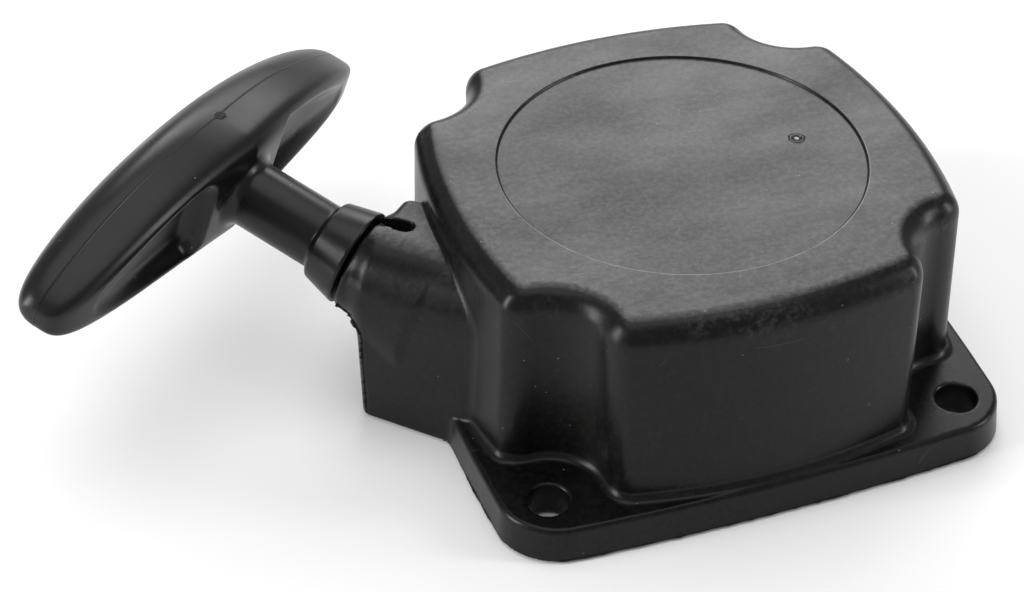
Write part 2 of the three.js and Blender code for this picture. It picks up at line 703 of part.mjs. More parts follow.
const blackNylon = { color: 0x232324, roughness: 0.42, metalness: 0 };
const blackGrip = { color: 0x262627, roughness: 0.38, metalness: 0 };
const reelNylon = { color: 0xd8d4c6, roughness: 0.5, metalness: 0 };
const rope = { color: 0xe9e6dc, roughness: 0.9, metalness: 0 };
const zincSteel = { color: 0xb9bcc0, roughness: 0.35, metalness: 1 };
const springSteel = { color: 0x6f7378, roughness: 0.3, metalness: 1 };
const brass = { color: 0xb5904a, roughness: 0.35, metalness: 1 };

const starter = new THREE.Group();
starter.name = 'recoil_starter';

function add(parent, name, manifold, material, turn = 0) {
  const mesh = new THREE.Mesh(geometryOf(manifold), new THREE.MeshStandardMaterial(material));
  mesh.name = name;
  mesh.rotation.z = turn;
  parent.add(mesh);
}

const casing = new THREE.Group();
add(casing, 'starter_housing', starterHousing(), blackNylon);
add(casing, 'rope_guide', ropeGuide(), zincSteel);
add(casing, 'spring_case', springCase(), zincSteel);
add(casing, 'spring_cover', springCover(), zincSteel);
add(casing, 'recoil_spring', recoilSpring(), springSteel);
add(casing, 'thread_insert', threadInsert(), brass);
add(casing, 'centre_screw', centreScrew(), zincSteel);
add(casing, 'centre_washer', centreWasher(), zincSteel);
add(casing, 'guide_plate', guidePlate(), zincSteel);
add(casing, 'brake_spring', brakeSpring(), springSteel);
add(casing, 'rope_run', ropeRun(), rope);

const reel = new THREE.Group();
add(reel, 'rope_pulley', ropePulley(), reelNylon);
add(reel, 'rope_winding', ropeWinding(), rope);
add(reel, 'reel_knot', reelKnot(), rope);
PAWL_TURNS.forEach((turn, i) => {
  add(reel, `pawl_${i + 1}`, pawl(), zincSteel, turn);
  add(reel, `pawl_pin_${i + 1}`, pawlPin(), zincSteel, turn);
  add(reel, `pawl_spring_${i + 1}`, pawlSpring(), springSteel, turn);
});

const handle = new THREE.Group();
add(handle, 'handle_grip', handleGrip(), blackGrip);
add(handle, 'handle_knot', handleKnot(), rope);

starter.add(casing, reel, handle);
export default starter;
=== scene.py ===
# A recoil starter in black moulded nylon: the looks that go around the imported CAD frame.
# Fields and profiles are in millimetres in the row frame; meshes are made in metres.

import math

import bmesh
import bpy
import numpy as np
from mathutils import Matrix, Vector


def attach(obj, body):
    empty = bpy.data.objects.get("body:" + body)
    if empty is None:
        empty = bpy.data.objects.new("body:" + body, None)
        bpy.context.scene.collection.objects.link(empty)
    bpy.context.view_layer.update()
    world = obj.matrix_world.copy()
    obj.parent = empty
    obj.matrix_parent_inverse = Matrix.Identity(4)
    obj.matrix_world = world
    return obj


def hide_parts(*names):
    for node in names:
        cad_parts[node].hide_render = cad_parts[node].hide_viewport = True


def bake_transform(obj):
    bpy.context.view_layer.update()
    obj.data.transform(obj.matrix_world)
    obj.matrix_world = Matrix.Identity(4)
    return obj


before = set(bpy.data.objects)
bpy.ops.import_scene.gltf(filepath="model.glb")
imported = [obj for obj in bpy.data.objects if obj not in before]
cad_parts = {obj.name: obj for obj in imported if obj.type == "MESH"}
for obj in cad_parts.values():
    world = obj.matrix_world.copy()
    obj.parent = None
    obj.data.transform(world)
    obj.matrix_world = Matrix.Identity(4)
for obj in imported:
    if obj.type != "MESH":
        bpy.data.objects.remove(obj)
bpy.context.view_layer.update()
MM = 0.001
COARSE = 1.0

# ---- dimensions ---------------------------------------------------------------------------

FLANGE_HALF, FLANGE_SIDE_R, FLANGE_T, CORNER_R = 43.0, 470.0, 5.9, 8.0
HOLE_AT, HOLE_R = 34.1, 3.2
HEIGHT, ROOF, WALL = 37.6, 2.4, 2.3
LABEL_R, LABEL_DEPTH = 29.0, 0.4
BLOCK_END, BLOCK_NEAR, BLOCK_FAR, BLOCK_TOP, BLOCK_ROUND = 38.9, 38.3, 20.5, 31.5, 9.0
BLOCK_CORNER_R, SIDE_WALL = 2.4, 2.2
NOSE_END = np.array([-50.2, 8.8, 23.7])
NOSE_R, NOSE_BASE_R, NOSE_LENGTH, NOSE_BORE_R = 8.1, 10.4, 13.0, 4.5
NOTCH_SIDE, NOTCH_LONG, NOTCH_HALF, NOTCH_DEEP = 1.2, 4.4, 1.2, 1.4
GRIP_REACH, GRIP_HALF = 38.2, 43.4
GRIP_MID_HALF, GRIP_TIP_HALF, GRIP_MID_DEPTH, GRIP_TIP_DEPTH = 10.2, 4.5, 16.6, 12.6
GRIP_ARCH, GRIP_DROOP, PARTING = 0.001, 0.0018, 0.49
GRIP_ROLL_DEG = 5.5
SHAFT_R, COLLAR_R, COLLAR_END, COLLAR_TAPER = 5.5, 8.3, 6.6, 0.25
KNOT_Y = 29.0
ROPE_R, ROPE_Z, ROPE_LINE = 1.5, 17.8, 29.1
POST_R, POST_END, INSERT_R, INSERT_END = 5.0, 12.6, 3.9, 23.3
ANCHOR_AT, ANCHOR_R, ANCHOR_END = 30.2, 1.6, 24.6
ANCHOR_DEG = -50
REEL_R, REEL_LOW, REEL_TOP, GROOVE_R, GROOVE_HALF = 32.5, 12.9, 22.8, 24.0, 3.2
REEL_BORE_R, HUB_R, HUB_TOP = 5.3, 8.4, 33.4
PAWL_AT, PAWL_MID, PAWL_HALF, PIN_HOLE_R = 15.0, 10.85, 1.65, 1.8
TORSION_R, BRAKE_R, BRAKE_LOW, BRAKE_TOP = 2.1, 3.6, 9.3, 11.9
TURN_RADII, TURN_RISE = (25.8, 28.75), 1.45


def direction(yaw, pitch=0.0):
    a, b = math.radians(yaw), math.radians(pitch)
    return np.array([math.cos(a) * math.cos(b), math.sin(a) * math.cos(b), math.sin(b)])


UP = np.array([0.0, 0.0, 1.0])
BLOCK_U = direction(135)
BLOCK_N = -np.cross(BLOCK_U, UP)
PULL = direction(134.3, 18.8)


def turned_about(v, axis, angle):
    """A vector turned about a unit axis."""
    return (v * math.cos(angle) + np.cross(axis, v) * math.sin(angle)
            + axis * (axis @ v) * (1 - math.cos(angle)))


sideways = np.cross(PULL, UP)
GRIP_X = turned_about(sideways / np.linalg.norm(sideways), PULL, math.radians(GRIP_ROLL_DEG))
GRIP_V = np.cross(GRIP_X, PULL)


def along_pull(distance):
    return NOSE_END + PULL * distance


def pull_frame(x, y, z):
    """Coordinates along the grip, along the pull and across both, from the nose's end."""
    p = (x - NOSE_END[0], y - NOSE_END[1], z - NOSE_END[2])
    return tuple(p[0] * e[0] + p[1] * e[1] + p[2] * e[2] for e in (GRIP_X, PULL, GRIP_V))


# ---- fields: below zero inside the solid ------------------------------------------------------


def both(a, b, r):
    """The overlap of two solids, with its edge rounded."""
    u, v = np.maximum(a + r, 0), np.maximum(b + r, 0)
    return np.minimum(-r, np.maximum(a, b)) + np.sqrt(u * u + v * v)


def either(a, b, r):
    """Two solids joined, with a fillet."""
    u, v = np.maximum(r - a, 0), np.maximum(r - b, 0)
    return np.maximum(r, np.minimum(a, b)) - np.sqrt(u * u + v * v)


def less(a, b, r):
    """The first solid with the second cut out of it."""
    return both(a, -b, r)


def mix(a, b, t):
    return a + (b - a) * t


def lobed(x, y, z):
    """The body's outline at a height: four lobes, with a hollow at each flange hole."""
    t = np.clip((z - FLANGE_T) / (HEIGHT - FLANGE_T), 0, 1)
    apex, radius, notch = mix(41, 39.6, t), mix(95, 98, t), mix(9.4, 9.0, t)
    ax, ay = np.abs(x), np.abs(y)
    lobes = np.maximum(np.hypot(ax + radius - apex, y), np.hypot(ay + radius - apex, x)) - radius
    return both(lobes, notch - np.hypot(ax - HOLE_AT, ay - HOLE_AT), 3.6)


def block_section(a, z, inset=0.0):
    near, top = BLOCK_NEAR - inset, BLOCK_TOP - inset
    return both(both(a - near, z - top, BLOCK_ROUND - inset), BLOCK_FAR + inset - a, 0.8)


def nose_cone(x, y, z):
    w, d, v = pull_frame(x, y, z)
    radius = np.interp(d, [-NOSE_LENGTH, -3.5, 0], [NOSE_BASE_R, NOSE_R + 0.3, NOSE_R])
    return both(both(np.hypot(w, v) - radius, d, 0.7), -NOSE_LENGTH - d, 0.3)


def housing_outside(x, y, z):
    body = both(lobed(x, y, z), z - HEIGHT, 3.9)
    half = FLANGE_HALF - 0.5 * np.clip(z / FLANGE_T, 0, 1)
    reach = FLANGE_SIDE_R - half
    sides = [np.hypot(np.abs(p) + reach, q) - FLANGE_SIDE_R for p, q in ((x, y), (y, x))]
    flange = both(both(*sides, CORNER_R), z - FLANGE_T, 0.8)
    a = x * BLOCK_N[0] + y * BLOCK_N[1]
    s = x * BLOCK_U[0] + y * BLOCK_U[1]
    section = block_section(a, z)
    block = both(both(section, s - BLOCK_END, BLOCK_CORNER_R), 5 - s, 0.3)
    nose = both(nose_cone(x, y, z), section, 0.8)
    return both(either(either(body, flange, 1.5), either(block, nose, 1.6), 0.6), -z, 0.3)


def top_slot(x, y, z):
    """The short groove in the top of the nose, open to its end face."""
    w, d, v = pull_frame(x, y, z)
    return both(np.hypot(w - NOTCH_SIDE, np.maximum(-d - NOTCH_LONG, 0)) - NOTCH_HALF,
                NOSE_R - NOTCH_DEEP - v, 0.3)


def housing(x, y, z):
    solid = housing_outside(x, y, z)
    cavity = both(lobed(x, y, np.maximum(z, FLANGE_T)) + WALL, z - HEIGHT + ROOF, 1.2)
    a = x * BLOCK_N[0] + y * BLOCK_N[1]
    s = x * BLOCK_U[0] + y * BLOCK_U[1]
    side_room = both(both(block_section(a, z, SIDE_WALL), s - BLOCK_END + SIDE_WALL, 0.8),
                     12 - s, 0.3)
    solid = less(solid, either(cavity, side_room, 0.4), 0.35)
    w, d, v = pull_frame(x, y, z)
    bore = np.maximum(np.hypot(w, v) - NOSE_BORE_R, -d - NOSE_LENGTH - 1)
    solid = less(solid, bore, 0.4)
    hole = np.hypot(np.abs(x) - HOLE_AT, np.abs(y) - HOLE_AT) - HOLE_R
    solid = less(solid, hole, 0.55)
    solid = less(solid, top_slot(x, y, z), 0.25)
    r = np.hypot(x, y)
    post = both(r - POST_R, POST_END - z, 0.4)
    spot = direction(ANCHOR_DEG) * ANCHOR_AT
    anchor = both(np.hypot(x - spot[0], y - spot[1]) - ANCHOR_R, ANCHOR_END - z, 0.3)
    inner = np.minimum(post, anchor)
    inner = np.maximum(inner, z - HEIGHT + 1.2)
    solid = either(solid, inner, 0.6)
    return less(solid, np.maximum(r - INSERT_R, z - INSERT_END), 0.3)


def grip_at(w):
    """How blunt, how thick and how deep the grip is at a place along it, and where it lies."""
    t = np.clip(np.abs(w) / GRIP_HALF, 0, 1)
    blunt = np.maximum(1 - t**4, 1e-6) ** 0.25
    half = mix(GRIP_MID_HALF, GRIP_TIP_HALF, t**1.6)
    depth = mix(GRIP_MID_DEPTH, GRIP_TIP_DEPTH, t)
    return blunt, half, depth, GRIP_REACH - GRIP_ARCH * w * w, -GRIP_DROOP * w * w


def parting(x, y, z):
    """How far a point is from the grip's parting line, along the pull."""
    w, d = pull_frame(x, y, z)[:2]
    depth, crown = grip_at(w)[2:4]
    return d - (crown - PARTING * depth)


def grip(x, y, z):
    w, d, v = pull_frame(x, y, z)
    blunt, half, depth, crown, sag = grip_at(w)
    t, height = np.abs(w) / GRIP_HALF, v
    v = v - sag
    e = d - (crown - PARTING * depth)
    out = np.maximum(e, 0) / (PARTING * depth)
    back = np.maximum(-e, 0) / ((1 - PARTING) * depth)
    front_g = (out**2.15 + np.abs(v / half) ** 2.15) ** (1 / 2.15)
    back_g = (back**6 + np.abs(v / half) ** 6) ** (1 / 6)
    gauge = np.where(e > 0, front_g, back_g)
    bar = ((gauge**4 + t**4) ** 0.25 - 1) * mix(8.0, 6.0, np.clip(t, 0, 1))
    wide = 0.94 * half * blunt - 1.9
    floor = crown - mix(0.77, 0.97, np.clip(np.abs(w) / 37, 0, 1) ** 2.5) * depth
    hollow = both(both(np.abs(v) - wide, d - floor, 3.2), 10.5 - np.abs(w), 2.5)
    hollow = both(hollow, np.abs(w) - 37, 2.5)
    bar = less(bar, hollow, 1.5)
    r = np.hypot(w, height)
    collar = both(both(r - (COLLAR_R - COLLAR_TAPER * d), d - COLLAR_END, 0.5), 0.5 - d, 0.6)
    shaft = np.maximum(np.maximum(r - SHAFT_R, 0.8 - d), d - KNOT_Y)
    solid = either(bar, either(collar, shaft, 0.9), 1.8)
    solid = less(solid, np.maximum(r - ROPE_R - 0.4, d - KNOT_Y), 0.5)
    pocket = both(both(np.abs(d - KNOT_Y) - 3.2, np.abs(height) - 3.3, 1.0),
                  np.abs(w) - 6, 0.3)
    return less(solid, pocket, 0.4)


def reel(x, y, z):
    r = np.hypot(x, y)
    disc = both(both(r - REEL_R, z - REEL_TOP, 0.5), REEL_LOW - z, 0.5)
    slope = np.maximum(0.05 * (r - GROOVE_R), 0)
    groove = both(GROOVE_R - r, np.abs(z - ROPE_Z) - GROOVE_HALF - slope, 0.4)
    solid = less(disc, groove, 0.5)
    pocket = both(both(r - 21.8, 11 - r, 0.8), 15.4 - z, 0.8)
    angle = np.arctan2(y, x)
    sixth = math.pi / 3
    near = (angle + sixth / 2) % sixth - sixth / 2
    pocket = both(pocket, 0.7 - np.abs(r * np.sin(near)), 0.5)
    solid = less(solid, pocket, 0.4)
    hub = both(r - HUB_R, z - HUB_TOP, 0.5)
    solid = either(solid, np.maximum(hub, 13 - z), 0.6)
    solid = less(solid, r - REEL_BORE_R, 0.4)
    solid = less(solid, np.maximum(r - REEL_BORE_R - 0.3, z - REEL_LOW - 1), 0.2)
    for turn in (1, -1):
        hole = np.hypot(x - PAWL_AT * turn, y) - PIN_HOLE_R
        solid = less(solid, np.maximum(hole, z - 16.3), 0.2)
    # a shallow ring moulded in the underside, around the hub
    ring = both(np.abs(r - 26.5) - 2.6, z - 13.6, 0.3)
    hook = direction(ANCHOR_DEG + math.degrees(0.1))
    notch = both(np.abs(-x * hook[1] + y * hook[0]) - 1.3, 7 - (x * hook[0] + y * hook[1]), 0.2)
    solid = less(solid, np.maximum(notch, 23.8 - z), 0.2)
    return less(solid, ring, 0.3)


def pawl(x, y, z):
    """The pawl on the +x side, around its pin."""
    x = x - PAWL_AT
    eye = np.hypot(x, y) - 3.4
    # a tapered arm from the eye to the driving tip
    t = np.clip(-y / 12.5, 0, 1)
    middle, half = mix(0.0, 0.4, t), mix(3.3, 2.0, t)
    arm = both(np.abs(x - middle) - half, np.maximum(y, -12.2 + 0.15 * x - y), 0.4)
    flat = both(either(eye, arm, 0.8), np.abs(z - PAWL_MID) - PAWL_HALF, 0.3)
    return less(flat, np.hypot(x, y) - PIN_HOLE_R, 0.25)


def pin(x, y, z):
    r = np.hypot(x - PAWL_AT, y)
    head = both(r - 2.4, np.abs(z - 5.8) - 0.4, 0.3)
    stem = both(both(r - 1.5, z - 16, 0.3), 5.8 - z, 0.1)
    return either(head, stem, 0.2)


def plate(x, y, z):
    r = np.hypot(x, y)
    flat = both(r - 10, 3 - np.hypot(x, np.abs(y) - 11.2), 0.5)
    flat = both(flat, np.abs(z - 8) - 0.6, 0.25)
    return less(flat, r - 2.3, 0.2)


def washer(x, y, z):
    r = np.hypot(x, y)
    return less(both(r - 6.5, np.abs(z - 6.6) - 0.5, 0.25), r - 2.3, 0.2)


def screw(x, y, z):
    r = np.hypot(x, y)
    dome = np.sqrt(r * r + (z - 12.2) ** 2) - 9.6
    head = both(both(r - 4.6, z - 5.8, 0.2), dome, 0.3)
    lead = 2.0 - 0.16 * (0.5 + 0.5 * np.cos(np.arctan2(y, x) - 2 * math.pi * z / 0.9))
    stem = both(np.maximum(r - np.where(z > 11, lead, 2.0), 5 - z), z - 21.5, 0.5)
    solid = np.minimum(head, stem)
    arms = np.minimum(both(np.abs(x) - 2.2, np.abs(y) - 0.5, 0.1),
                      both(np.abs(y) - 2.2, np.abs(x) - 0.5, 0.1))
    return less(solid, np.maximum(arms, z - 4.2), 0.15)


def guide(x, y, z):
    w, d, v = pull_frame(x, y, z)
    r = np.hypot(w, v)
    outer = np.minimum(both(r - 4.2, d + 0.4, 0.2), both(r - 5.1, d + 8.6, 0.3))
    flare = 2.0 + 0.9 * np.clip((-8.4 - d) / 1.2, 0, 1) ** 2 + 0.7 * np.clip(d + 1.4, 0, 1) ** 2
    return less(np.maximum(outer, -9.6 - d), r - flare, 0.3)


# ---- meshes ----------------------------------------------------------------------------------


def net(field, low, high, step):
    """The field's surface as quads, one vertex in each cell that it passes through."""
    low = np.array(low, float)
    count = np.ceil((np.array(high, float) - low) / step).astype(int) + 1
    lines = [low[i] + step * np.arange(count[i]) for i in range(3)]
    value = np.empty(count, np.float32)
    for k in range(0, count[0], 6):
        grid = np.meshgrid(lines[0][k:k + 6], lines[1], lines[2], indexing="ij")
        value[k:k + 6] = field(*grid)
    inside = value < 0
    total = np.zeros(count - 1, np.int8)
    offsets = [(i, j, k) for i in (0, 1) for j in (0, 1) for k in (0, 1)]
    for i, j, k in offsets:
        total += inside[i:count[0] - 1 + i, j:count[1] - 1 + j, k:count[2] - 1 + k]
    active = (total > 0) & (total < 8)
    number = np.full(count - 1, -1, np.int64)
    number[active] = np.arange(active.sum())
    cells = np.argwhere(active)
    middle, hits = np.zeros((len(cells), 3)), np.zeros(len(cells))
    for a in offsets:
        for axis in range(3):
            if a[axis]:
                continue
            b = list(a)
            b[axis] = 1
            pa, pb = cells + a, cells + b
            va, vb = value[tuple(pa.T)], value[tuple(pb.T)]
            cross = (va < 0) != (vb < 0)
            t = va[cross] / (va[cross] - vb[cross])
            middle[cross] += pa[cross] + t[:, None] * (pb - pa)[cross]
            hits[cross] += 1
    points = low + step * middle / hits[:, None]
    faces = []
    for axis in range(3):
        one, two = (axis + 1) % 3, (axis + 2) % 3
        span = [slice(1, -1)] * 3
        first, second = list(span), list(span)
        first[axis], second[axis] = slice(0, -1), slice(1, None)
        a, b = inside[tuple(first)], inside[tuple(second)]
        for rising, mask in ((True, a & ~b), (False, ~a & b)):
            e = np.argwhere(mask)
            e[:, one] += 1
            e[:, two] += 1
            ring = []
            for i, j in ((0, 0), (1, 0), (1, 1), (0, 1)):
                c = e.copy()
                c[:, one] -= i
                c[:, two] -= j
                ring.append(number[tuple(c.T)])
            faces.append(np.stack(ring if rising else ring[::-1], 1))
    return points, np.concatenate(faces)


def slope_of(field, p, h=0.01):
    g = np.empty_like(p)
    for i in range(3):
        q, r = p.copy(), p.copy()
        q[:, i] += h
        r[:, i] -= h
        g[:, i] = (field(*q.T) - field(*r.T)) / (2 * h)
    return g


def settle(field, points, limit, rounds=3):
    """Moves points onto the surface, and gives the surface's normals there."""
    p = points.copy()
    for _ in range(rounds):
        g = slope_of(field, p)
        move = g * (field(*p.T) / np.maximum((g * g).sum(1), 1e-3))[:, None]
        size = np.linalg.norm(move, axis=1)
        p -= move * np.minimum(1, limit / np.maximum(size, 1e-9))[:, None]
    g = slope_of(field, p, 0.04)
    return p, g / np.maximum(np.linalg.norm(g, axis=1), 1e-9)[:, None]


def mesh_of(name, points, faces):
    """A smooth mesh from points in millimetres; faces is an array of equal polygons, or a list."""
    mesh = bpy.data.meshes.new(name)
    if isinstance(faces, np.ndarray):
        sides = faces.shape[1]
        mesh.vertices.add(len(points))
        mesh.vertices.foreach_set("co", (points * MM).astype(np.float32).ravel())
        mesh.loops.add(faces.size)
        mesh.loops.foreach_set("vertex_index", faces.astype(np.int32).ravel())
        mesh.polygons.add(len(faces))
        mesh.polygons.foreach_set("loop_start", (np.arange(len(faces)) * sides).astype(np.int32))
        mesh.update(calc_edges=True)
    else:
        mesh.from_pydata([tuple(p * MM) for p in points], [], faces)
    mesh.validate()
    mesh.polygons.foreach_set("use_smooth", np.ones(len(mesh.polygons), bool))
    return mesh


def points_of(mesh):
    p = np.empty(len(mesh.vertices) * 3, np.float32)
    mesh.vertices.foreach_get("co", p)
    return p.reshape(-1, 3).astype(float) / MM


def place(mesh, material, body, nodes):
    piece = bpy.data.objects.new(mesh.name, mesh)
    bpy.context.scene.collection.objects.link(piece)
    mesh.materials.append(material)
    if body:
        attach(piece, body)
    if nodes:
        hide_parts(*nodes)
    return piece


def thinned(mesh, keep):
    """The same mesh with fewer faces where it is flat."""
    probe = bpy.data.objects.new("probe", mesh)
    bpy.context.scene.collection.objects.link(probe)
    modifier = probe.modifiers.new("thin", "DECIMATE")
    modifier.ratio = keep
    graph = bpy.context.evaluated_depsgraph_get()
    result = bpy.data.meshes.new_from_object(probe.evaluated_get(graph))
    bpy.data.objects.remove(probe)
    name = mesh.name
    bpy.data.meshes.remove(mesh)
    result.name = name
    return result


def number_layer(mesh, name, values):
    layer = mesh.attributes.new(name, "FLOAT", "POINT")
    layer.data.foreach_set("value", np.asarray(values, np.float32))


def moulded(name, field, low, high, step, keep=0.35, turn=0.0, patch=None):
    """A mesh of the field's surface, thinned, with exact normals."""
    step = step * COARSE
    points, faces = net(field, low, high, step)
    points, _ = settle(field, points, step * 0.5)
    mesh = mesh_of(name, points, faces)
    if keep < 1:
        mesh = thinned(mesh, keep)
        points, _ = settle(field, points_of(mesh), step * 0.4, 2)
        mesh.vertices.foreach_set("co", (points * MM).astype(np.float32).ravel())
    if patch:
        patch(mesh)
    points = points_of(mesh)
    _, normals = settle(field, points, 0.0, 1)
    if patch:
        normals = label_normals(points, normals)
    if turn:
        c, s = math.cos(turn), math.sin(turn)
        spin = np.array([[c, -s, 0], [s, c, 0], [0, 0, 1]])
        points, normals = points @ spin.T, normals @ spin.T
        mesh.vertices.foreach_set("co", (points * MM).astype(np.float32).ravel())
    mesh.polygons.foreach_set("use_smooth", np.ones(len(mesh.polygons), bool))
    mesh.update()
    mesh.normals_split_custom_set_from_vertices([tuple(n) for n in normals])
    return mesh


# the round recess on the roof, as rings that are finer than the field's cells


def label_height(r):
    t = np.clip((LABEL_R + 0.22 - r) / 0.44, 0, 1)
    return HEIGHT - LABEL_DEPTH * t * t * (3 - 2 * t)


def label_normals(points, normals):
    r = np.hypot(points[:, 0], points[:, 1])
    here = (r < LABEL_R + 1.4) & (points[:, 2] > HEIGHT - 0.8)
    slope = (label_height(r + 0.01) - label_height(r - 0.01)) / 0.02
    n = np.stack([-slope * points[:, 0] / np.maximum(r, 1e-6),
                  -slope * points[:, 1] / np.maximum(r, 1e-6), np.ones(len(r))], 1)
    n /= np.linalg.norm(n, axis=1)[:, None]
    return np.where(here[:, None], n, normals)


def label_patch(mesh):
    sides = 240
    bm = bmesh.new()
    bm.from_mesh(mesh)
    reach = (LABEL_R + 1.3) * MM
    gone = [f for f in bm.faces if all(v.co.z > (HEIGHT - 1.0) * MM for v in f.verts)
            and any(math.hypot(v.co.x, v.co.y) < reach for v in f.verts)]
    bmesh.ops.delete(bm, geom=gone, context="FACES")
    border = [e for e in bm.edges if e.is_boundary and e.verts[0].co.z > 30 * MM]
    for e in border:
        for v in e.verts:
            if v.co.z > (HEIGHT - 0.03) * MM:
                v.co.z = HEIGHT * MM
    radii = [LABEL_R + d for d in (0.7, 0.3, 0.2, 0.1, 0.0, -0.1, -0.2, -0.3, -1.2)]
    radii += [24.0, 19.0, 14.0, 9.0, 4.0]
    rings = []
    for r in radii:
        h = float(label_height(r)) * MM
        rings.append([bm.verts.new((r * MM * math.cos(2 * math.pi * i / sides),
                                    r * MM * math.sin(2 * math.pi * i / sides), h))
                      for i in range(sides)])
    outer = [bm.edges.new((rings[0][i], rings[0][(i + 1) % sides])) for i in range(sides)]
    fill = bmesh.ops.triangle_fill(bm, edges=border + outer, use_beauty=True, normal=(0, 0, 1))
    filled = [g for g in fill["geom"] if isinstance(g, bmesh.types.BMFace)]
    bmesh.ops.reverse_faces(bm, faces=[f for f in filled if f.normal.z < 0])
    for a, b in zip(rings, rings[1:]):
        for i in range(sides):
            j = (i + 1) % sides
            bm.faces.new((a[i], a[j], b[j], b[i]))
    centre = bm.verts.new((0, 0, float(label_height(0.0)) * MM))
    for i in range(sides):
        bm.faces.new((rings[-1][i], rings[-1][(i + 1) % sides], centre))
    bm.to_mesh(mesh)
    bm.free()


def swept(name, path, section):
    """A section of (side, up) points carried along a path without twist, with closed ends."""
    path, section = np.array(path, float), np.array(section, float)
    tangent = np.gradient(path, axis=0)
    tangent /= np.linalg.norm(tangent, axis=1)[:, None]
    frames = []
    normal = np.cross(tangent[0], UP)
    if np.linalg.norm(normal) < 1e-3:
        normal = np.cross(tangent[0], [1.0, 0, 0])
    for t in tangent:
        normal = normal - t * (normal @ t)
        normal = normal / np.linalg.norm(normal)
        frames.append((normal, np.cross(normal, t)))
    sides = len(section)
    points = np.array([p + s * a + u * b for p, (a, b) in zip(path, frames) for s, u in section])
    k = np.arange(sides)
    rows = []
    for i in range(len(path) - 1):
        a = i * sides
        rows.append(np.stack([a + k, a + sides + k, a + sides + (k + 1) % sides,
                              a + (k + 1) % sides], 1))
    faces = [tuple(int(v) for v in f) for f in np.concatenate(rows)]
    faces.append(tuple(int(v) for v in k))
    faces.append(tuple(int(v) for v in ((len(path) - 1) * sides + k)[::-1]))
    mesh = mesh_of(name, points, faces)
    gone = np.concatenate([[0], np.cumsum(np.linalg.norm(np.diff(path, axis=0), axis=1))])
    if len(mesh.vertices) == len(points):
        number_layer(mesh, "along", np.repeat(gone, sides))
        number_layer(mesh, "around", np.tile(2 * math.pi * k / sides, len(path)))
    return mesh


def ridge(name, guess, reach, low, high, seed, closed=False):
    """A ragged ridge of flash where a line meets the housing."""
    line, normals = settle(housing, guess, reach, 6)
    count = len(line)
    chance = np.random.default_rng(seed)
    knots = np.arange(0, count + 4, 4)
    wild = np.interp(np.arange(count), knots, chance.uniform(0.0, 1.0, len(knots)))
    height = ((low + (high - low) * wild**2) * chance.uniform(0.8, 1.2, count))[:, None]
    tangent = np.roll(line, -1, 0) - np.roll(line, 1, 0) if closed else np.gradient(line, axis=0)
    tangent /= np.linalg.norm(tangent, axis=1)[:, None]
    across = np.cross(tangent, normals)
    rows = np.stack([line - across * 0.3 - normals * 0.25,
                     line - across * 0.1 + normals * height * 0.7,
                     line + across * 0.12 + normals * height,
                     line + across * 0.3 - normals * 0.25], 1)
    faces = [(i * 4 + a, i * 4 + (a + 1) % 4, (i + 1) % count * 4 + (a + 1) % 4,
              (i + 1) % count * 4 + a) for i in range(count if closed else count - 1)
             for a in range(4)]
    if not closed:
        faces += [(3, 2, 1, 0), tuple((count - 1) * 4 + a for a in range(4))]
    return mesh_of(name, rows.reshape(-1, 3), faces)


def circle(radius, sides):
    a = 2 * math.pi * np.arange(sides) / sides
    return np.stack([radius * np.cos(a), radius * np.sin(a)], 1)


def smooth_path(points, count):
    """A Catmull-Rom line through the points."""
    p = np.array(points, float)
    p = np.vstack([2 * p[0] - p[1], p, 2 * p[-1] - p[-2]])
    out = []
    for i in range(1, len(p) - 2):
        for s in np.arange(count) / count:
            a, b, c, d = p[i - 1:i + 3]
            out.append(0.5 * (2 * b + (c - a) * s + (2 * a - 5 * b + 4 * c - d) * s**2
                              + (3 * b - a - 3 * c + d) * s**3))
    out.append(p[-2])
    return np.array(out)


# ---- materials -------------------------------------------------------------------------------


